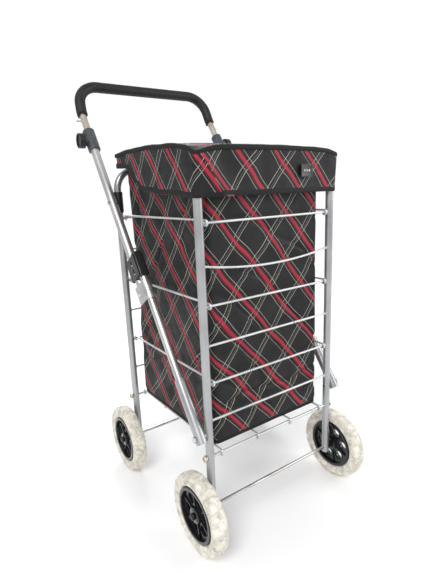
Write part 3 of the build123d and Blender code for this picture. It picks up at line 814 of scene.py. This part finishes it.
TAPE_BLACK = (0.005, 0.005, 0.0055, 1)
TAPE_GREY = (0.012, 0.012, 0.013, 1)
tape, shader = plain_finish("black_binding_tape", 0.6, 0.0, Specular_IOR_Level=0.22)
cloud, turned = mottle(tape, shader, TAPE_BLACK, TAPE_GREY, 90.0)
vary_gloss(tape, shader, cloud.outputs["Fac"], 0.5, 0.7)
rib = add_node(tape, "ShaderNodeTexWave", Scale=260.0, bands_direction="DIAGONAL", wave_profile="TRI")
tape_uv = add_node(tape, "ShaderNodeUVMap", uv_map="UVMap")
join_up(tape, tape_uv.outputs["UV"], rib.inputs["Vector"])
roughen(tape, shader, rib.outputs["Fac"], 0.0003, 0.6)


def bound_edge(name, columns, line, half_out, half_up, length):
    """Binding tape folded over an edge: a flattened tube along line(share) -> point, outward."""
    def lay(u, v):
        point, out = line(u)
        turn = 2 * math.pi * v
        return point + out * half_out * math.cos(turn) + Vector((0, 0, half_up * math.sin(turn)))
    return sewn_panel(name, columns, 14, lay, lambda u, v, middle: (u * length, v * 0.02), tape)


def foot_line(share):
    edge = wall_point(share, 0.008)
    nx, ny = round_box(share % 1.0, bag_half, wall_near, wall_far, CORNER)[2:4]
    return edge + Vector((nx * 0.0002, ny * 0.0002, -0.0005)), Vector((nx, ny, 0))


def mouth_line(share):
    edge = wall_point(share, 1.0)
    nx, ny = round_box(share % 1.0, bag_half, wall_near, wall_far, CORNER)[2:4]
    return edge + Vector((-nx * 0.0006, -ny * 0.0006, -0.004)), Vector((nx, ny, 0))


foot_tape = bound_edge("bag_foot_binding", 240, foot_line, 0.0016, 0.0045, bag_round)
mouth_tape = bound_edge("bag_mouth_binding", 240, mouth_line, 0.0014, 0.0055, bag_round)


def sleeve(name, bar_y, flap_from):
    """A strip of the bag's cloth turned over the top bar and sewn back on itself."""
    def lay(u, v):
        x = (2 * u - 1) * sleeve_half
        crumple = 0.0004 * noise.noise(Vector((x * 40, v * 6, bar_y)))
        if v < 0.25:
            along = v / 0.25
            drop = 0.0094 * along + 0.001 * (1 - along)
            return Vector((x, flap_from + (bar_y - flap_from) * along, bar_z - drop))
        turn = -math.pi / 2 + 2 * math.pi * (v - 0.25) / 0.75 * (1 if flap_from < bar_y else -1)
        around = BAR_TO_WALL + crumple
        return Vector((x, bar_y + around * math.cos(turn), bar_z + around * math.sin(turn)))
    return sewn_panel(name, 60, 40, lay,
                      lambda u, v, middle: (u * 2 * sleeve_half, v * 0.08), bag_cloth)


front_sleeve = sleeve("bag_front_sleeve", front_y, wall_near)
rear_sleeve = sleeve("bag_rear_sleeve", rear_y, wall_far)
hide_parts("bag")
for piece in (walls, base, foot_tape, mouth_tape, front_sleeve, rear_sleeve):
    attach(piece, "front_frame")
    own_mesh(piece)


# Lid: a cover of the same plaid cloth with a stiffened top that bows up, and a skirt sewn on
# under a thick black binding. It sits a little askew, so the skirt wraps the near leg and
# its front seam runs across as a raised crease. Its back edge is sewn to the rear flap.
lid_low, lid_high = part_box("lid")
LID_HALF_TOP = lid_high.x - 0.0008
LID_HALF_HEM = lid_high.x - 0.0008
LID_NEAR_TOP = lid_low.y + 0.0006
LID_NEAR_HEM = lid_low.y + 0.0048
LID_FAR = lid_high.y - 0.0005
TOP_CORNER = 0.009
HEM_CORNER = 0.009
CREASE_PROUD = 0.012
CREASE_WIDE = 0.032
SEAM_SPACE = 0.0145
SIDE_STRETCH = 1.105
# Depth behind the front bar, and height from the lid's highest or lowest point
EDGE_LEVELS = ((-0.015, -0.0148), (0.016, -0.0105), (0.088, -0.005),
               (0.165, -0.0005), (0.239, 0.0), (0.318, -0.0035))
HEM_LEVELS = ((-0.012, 0.0), (0.1, 0.0065), (0.175, 0.014), (0.275, 0.0685), (0.318, 0.07))
lid_depth = LID_FAR - LID_NEAR_TOP


def between(places, value):
    """Smooth steps through a table of places and values."""
    for (near, low), (far, high) in zip(places, places[1:]):
        if value <= far:
            share = max(0.0, (value - near) / (far - near))
            share = share * share * (3 - 2 * share)
            return low + (high - low) * share
    return places[-1][1]


def edge_height(x, y):
    """Height of the lid's top along its edge: low at the front corners, high at the sides."""
    depth = y - front_y
    level = between(EDGE_LEVELS, depth)
    near = math.hypot(max(0.0, LID_HALF_TOP - abs(x)) / 0.03, (depth + 0.015) / 0.028)
    return lid_high.z + level - (0.0105 if x > 0 else 0.0115) * math.exp(-near ** 1.4)


def hem_height(y):
    return lid_low.z + between(HEM_LEVELS, y - front_y)


def skirt_share(u, v):
    """Where a column of the skirt lies on its round: one column follows the slanting crease."""
    if u < seam_start:
        return u
    crease = seam_start + max(0.0015, (1 - v) * crease_run)
    if u < seam_end:
        return seam_start + (u - seam_start) / (seam_end - seam_start) * (crease - seam_start)
    return crease + (u - seam_end) / (1 - seam_end) * (1 - crease)


lid_round = round_box(0, LID_HALF_TOP, LID_NEAR_TOP, LID_FAR, TOP_CORNER)[4]
bend = math.pi / 2 * TOP_CORNER
seam_start = (LID_HALF_TOP - TOP_CORNER + bend + lid_depth - 2 * TOP_CORNER + bend) / lid_round
crease_run = 0.043 / lid_round
seam_end = seam_start + 0.045 / lid_round


def skirt_point(u, v):
    """The skirt from its hem (v 0) to the top binding (v 1)."""
    v = min(1.0, v)
    share = min(0.99999, skirt_share(u, v))
    half = LID_HALF_HEM + (LID_HALF_TOP - LID_HALF_HEM) * v
    near = LID_NEAR_HEM + (LID_NEAR_TOP - LID_NEAR_HEM) * v
    corner = HEM_CORNER + (TOP_CORNER - HEM_CORNER) * v
    x, y, nx, ny = round_box(share, half, near, LID_FAR, corner)[:4]
    top, hem = edge_height(x, y) - 0.002, hem_height(y)
    z = hem + (top - hem) * v
    spot = Vector((x * 10, y * 10, z * 6))
    middle = math.sin(math.pi * v)
    ripple = 0.0014 * noise.noise(spot * 1.3) * (1 - v * 0.6)
    ripple += 0.0012 * middle * noise.noise(spot * 2.6 + Vector((4, 4, 2)))
    inward = 0.0015 * middle + 0.0008 + ripple
    crease_share = seam_start + max(0.0015, (1 - v) * crease_run)
    off = abs(share - crease_share) * lid_round
    proud = CREASE_PROUD * (1 - v) ** 0.8 * max(0.0, 1 - off / CREASE_WIDE) ** 1.3
    dip = 0.004 * math.exp(-((off - 0.045) / 0.02) ** 2) * (1 - v) ** 0.5 * max(0.0, -ny)
    inward += min(dip, 0.0028) * 0.5
    leg_gap = math.hypot(abs(x) - leg_high.x + 0.008, y - front_y)
    inward *= min(1.0, max(0.0, (leg_gap - 0.016) / 0.03))
    return Vector((x - nx * inward, y - ny * inward - proud, z))


lid_red_start = -lid_round / 2 - 0.0035 / RED_SLOPE + 0.109
lid_cream_start = -lid_round / 2 + 0.0045 / CREAM_SLOPE + 0.0945
lid_cloth = plaid("lid_plaid", lid_red_start, lid_cream_start)


def skirt_spread(u, v, middle):
    """The side panel and the front panel are cut apart, so their plaids don't meet at the seam."""
    share = min(0.99999, skirt_share(u, v))
    run = share * lid_round
    half_round = lid_round / 2
    if middle < seam_end:
        corner_run = half_round - LID_HALF_TOP
        run = corner_run + SEAM_SPACE + (run - corner_run) * SIDE_STRETCH
    point = skirt_point(u, v)
    return run, point.z - lid_low.z - 0.0065


skirt = sewn_panel("lid_skirt", 320, 36, skirt_point, skirt_spread, lid_cloth, CLOTH_THICK)


def lid_top_point(u, v):
    """The lid's top, bowed up between its edges; its corners are rounded to the binding."""
    x = (2 * u - 1) * (LID_HALF_TOP - 0.0006)
    y = LID_NEAR_TOP + 0.0006 + v * (lid_depth - 0.0012)
    over_x = abs(x) - (LID_HALF_TOP - TOP_CORNER)
    near_y, far_y = LID_NEAR_TOP + TOP_CORNER - y, y - (LID_FAR - TOP_CORNER)
    over_y = max(near_y, far_y)
    if over_x > 0 and over_y > 0:
        pull = max(over_x, over_y) / math.hypot(over_x, over_y)
        x -= math.copysign(over_x * (1 - pull), x)
        y += (over_y * (1 - pull)) * (1 if near_y > 0 else -1)
    lift = 0.0045 * (1 - (2 * u - 1) ** 2) * math.sin(math.pi * min(1, v * 1.02)) ** 0.7
    crumple = 0.0016 * noise.noise(Vector((x * 13, y * 13, 2)))
    crumple += 0.0007 * noise.noise(Vector((x * 34, y * 34, 7)))
    fade = min(1.0, min(u, 1 - u, v, 1 - v) * 12)
    return Vector((x, y, edge_height(x, y) + lift + crumple * fade))


lid_top = sewn_panel("lid_top_cloth", 110, 110, lid_top_point,
                     lambda u, v, middle: (u * 2 * LID_HALF_TOP + 0.02, v * lid_depth),
                     lid_cloth, CLOTH_THICK)


def rim_line(share):
    x, y, nx, ny = round_box(share % 1.0, LID_HALF_TOP - 0.001, LID_NEAR_TOP + 0.001,
                             LID_FAR - 0.001, TOP_CORNER)[:4]
    wobble = 0.0007 * noise.noise(Vector((x * 30, y * 30, 1)))
    return Vector((x, y, edge_height(x, y) - 0.0028 + wobble)), Vector((nx, ny, -0.25))


def hem_line(share):
    share %= 1.0
    point = skirt_point(share, 0.055)
    nx, ny = round_box(skirt_share(share, 0.0), LID_HALF_HEM, LID_NEAR_HEM, LID_FAR, HEM_CORNER)[2:4]
    return point - Vector((nx, ny, 0)) * 0.0006, Vector((nx, ny, 0))


rim_tape = bound_edge("lid_rim_binding", 300, rim_line, 0.0024, 0.0042, lid_round)
hem_tape = bound_edge("lid_hem_binding", 320, hem_line, 0.0014, 0.0052, lid_round)
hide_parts("lid")
for piece in (skirt, lid_top, rim_tape, hem_tape):
    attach(piece, "lid")
    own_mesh(piece)


# Badge: a small soft patch of black rubber sewn on the front of the lid's skirt, with a
# raised edge and a row of plain pale diamonds moulded into it.
badge_low, badge_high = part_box("badge")
badge_middle = (badge_low + badge_high) / 2
BADGE_THICK = 0.0022
DIAMOND = 0.0026
DIAMOND_PITCH = 0.0062
DIAMOND_PALE = (0.5, 0.5, 0.48, 1)
DIAMOND_GREY = (0.34, 0.34, 0.33, 1)
rubber, shader = plain_finish("badge_rubber", 0.4, 0.0)
cloud, turned = mottle(rubber, shader, (0.018, 0.018, 0.019, 1), (0.035, 0.035, 0.036, 1), 240.0)
roughen(rubber, shader, grain_of(rubber, turned, 1300.0), 0.0002, 0.5)
pale, shader = plain_finish("badge_pale_rubber", 0.45, 0.0)
cloud, turned = mottle(pale, shader, DIAMOND_GREY, DIAMOND_PALE, 300.0)
bpy.ops.mesh.primitive_cube_add(size=1)
patch = bpy.context.object
patch.scale = (badge_high.x - badge_low.x, badge_high.z - badge_low.z, BADGE_THICK)
bpy.ops.object.transform_apply(location=False, rotation=False, scale=True)
selected_faces(patch, lambda c, n: n.z > 0.9)
bpy.ops.mesh.inset(thickness=0.0016)
bpy.ops.mesh.extrude_region_move(TRANSFORM_OT_translate={"value": (0, 0, -0.0007)})
bpy.ops.object.mode_set(mode="OBJECT")
soften = patch.modifiers.new("soft_edge", "BEVEL")
soften.width, soften.segments, soften.limit_method = 0.0005, 3, "ANGLE"
bpy.ops.object.modifier_apply(modifier="soft_edge")
hang = (Matrix.Translation((badge_middle.x, badge_high.y - 0.0002, badge_middle.z))
        @ Matrix.Rotation(math.radians(90), 4, "X"))
patch.matrix_world = hang
finish_piece(patch, "lid_badge_patch", rubber, 35)
bpy.ops.mesh.primitive_cylinder_add(vertices=4, radius=DIAMOND, depth=0.0016)
diamond = bpy.context.object
points = diamond.modifiers.new("soft_edge", "BEVEL")
points.width, points.segments = 0.0003, 2
bpy.ops.object.modifier_apply(modifier="soft_edge")
places = [hang @ Matrix.Translation((step * DIAMOND_PITCH, 0, 0.0006)) for step in (-1, 0, 1)]
diamonds = copies_joined(diamond, places)
finish_piece(diamonds, "lid_badge_diamonds", pale, 35)
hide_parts("badge")
for piece in (patch, diamonds):
    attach(piece, "lid")
    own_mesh(piece)


# Studio: a plain pale floor under an even white sky, and three large soft lights.
# The camera stands off the near front corner, a little above the lid.
BACKDROP = (0.95, 0.95, 0.95, 1)
bpy.ops.mesh.primitive_plane_add(size=4.4, location=(0, -0.2, 0))
floor = bpy.context.object
floor.name = "studio_floor"
floor_mat, shader = plain_finish("pale_floor", 0.7, 0.0)
mottle(floor_mat, shader, (0.92, 0.92, 0.92, 1), BACKDROP, 0.8)
floor.data.materials.append(floor_mat)
floor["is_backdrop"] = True
world = bpy.data.worlds.new("studio")
bpy.context.scene.world = world
world.use_nodes = True
SKY_SEEN = 1.05
SKY_LIGHT = 0.75
sky = world.node_tree.nodes["Background"]
sky.inputs["Color"].default_value = (0.98, 0.985, 1, 1)
path = world.node_tree.nodes.new("ShaderNodeLightPath")
shine = world.node_tree.nodes.new("ShaderNodeMapRange")
shine.inputs["To Min"].default_value, shine.inputs["To Max"].default_value = SKY_LIGHT, SKY_SEEN
world.node_tree.links.new(path.outputs["Is Camera Ray"], shine.inputs["Value"])
world.node_tree.links.new(shine.outputs["Result"], sky.inputs["Strength"])


def soft_light(name, place, aim, size, power):
    data = bpy.data.lights.new(name, "AREA")
    data.shape, data.size, data.energy = "DISK", size, power
    light = bpy.data.objects.new(name, data)
    bpy.context.scene.collection.objects.link(light)
    light.location = place
    light.rotation_euler = (Vector(aim) - Vector(place)).to_track_quat("-Z", "Y").to_euler()


soft_light("key", (-1.9, -1.7, 2.6), (0, 0, 0.5), 1.6, 60)
soft_light("fill", (2.4, -1.8, 1.5), (0, 0, 0.5), 2.0, 32)
soft_light("rim", (0.6, 2.6, 2.4), (0, 0, 0.6), 1.8, 40)

CAMERA_PLACE = Vector((-0.5579, front_y - 0.6172, 0.6877))
AZIMUTH, ELEVATION, ROLL = math.radians(-34.56), math.radians(12.82), math.radians(-2.415)
back = Vector((math.sin(AZIMUTH) * math.cos(ELEVATION),
               -math.cos(AZIMUTH) * math.cos(ELEVATION), math.sin(ELEVATION)))
right = (-back).cross(Vector((0, 0, 1))).normalized()
up = right.cross(-back)
camera_x = math.cos(ROLL) * right + math.sin(ROLL) * up
camera_y = -math.sin(ROLL) * right + math.cos(ROLL) * up
camera_data = bpy.data.cameras.new("camera")
camera_data.sensor_width, camera_data.lens = 36, 26.78
camera = bpy.data.objects.new("camera", camera_data)
bpy.context.scene.collection.objects.link(camera)
camera_turn = Matrix((camera_x, camera_y, back)).transposed().to_4x4()
camera.matrix_world = Matrix.Translation(CAMERA_PLACE) @ camera_turn
bpy.context.scene.camera = camera
bpy.context.scene.view_settings.view_transform = "Standard"

low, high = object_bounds()
